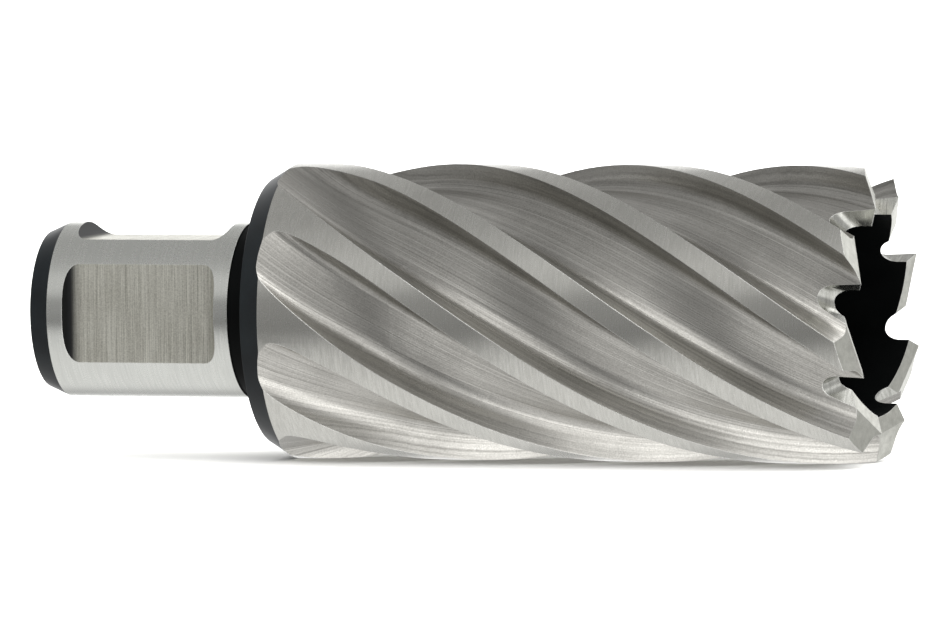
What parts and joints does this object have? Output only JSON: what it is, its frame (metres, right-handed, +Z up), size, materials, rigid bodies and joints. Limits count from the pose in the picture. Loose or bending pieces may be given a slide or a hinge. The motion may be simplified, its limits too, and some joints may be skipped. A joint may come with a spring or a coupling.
{
  "type": "annular cutter",
  "caption": "Fluted annular cutter with a flatted straight shank and a sliding pilot pin; held in a drill's arbor, it cuts a round hole and ejects the core.",
  "frame": {"origin": "on the axis of rotation, midway along the drive flats, in the plane of the arbor's set screws", "axes": "+X along the axis from the shank to the teeth, +Z up and square to one drive flat, -Y square to the other"},
  "size_m": [0.0942, 0.032, 0.032],
  "materials": {
    "cutter_steel": "ground high-speed steel",
    "pin_steel": "ground tool steel"
  },
  "bodies": {
    "cutter": {"annular_cutter": "cutter_steel"},
    "pin": {"pilot_pin": "pin_steel"}
  },
  "joints": [
    {"name": "pin_slide", "type": "slide", "parent": "cutter", "child": "pin", "axis": [1, 0, 0], "range_m": [-0.044, 0.0136]}
  ]
}
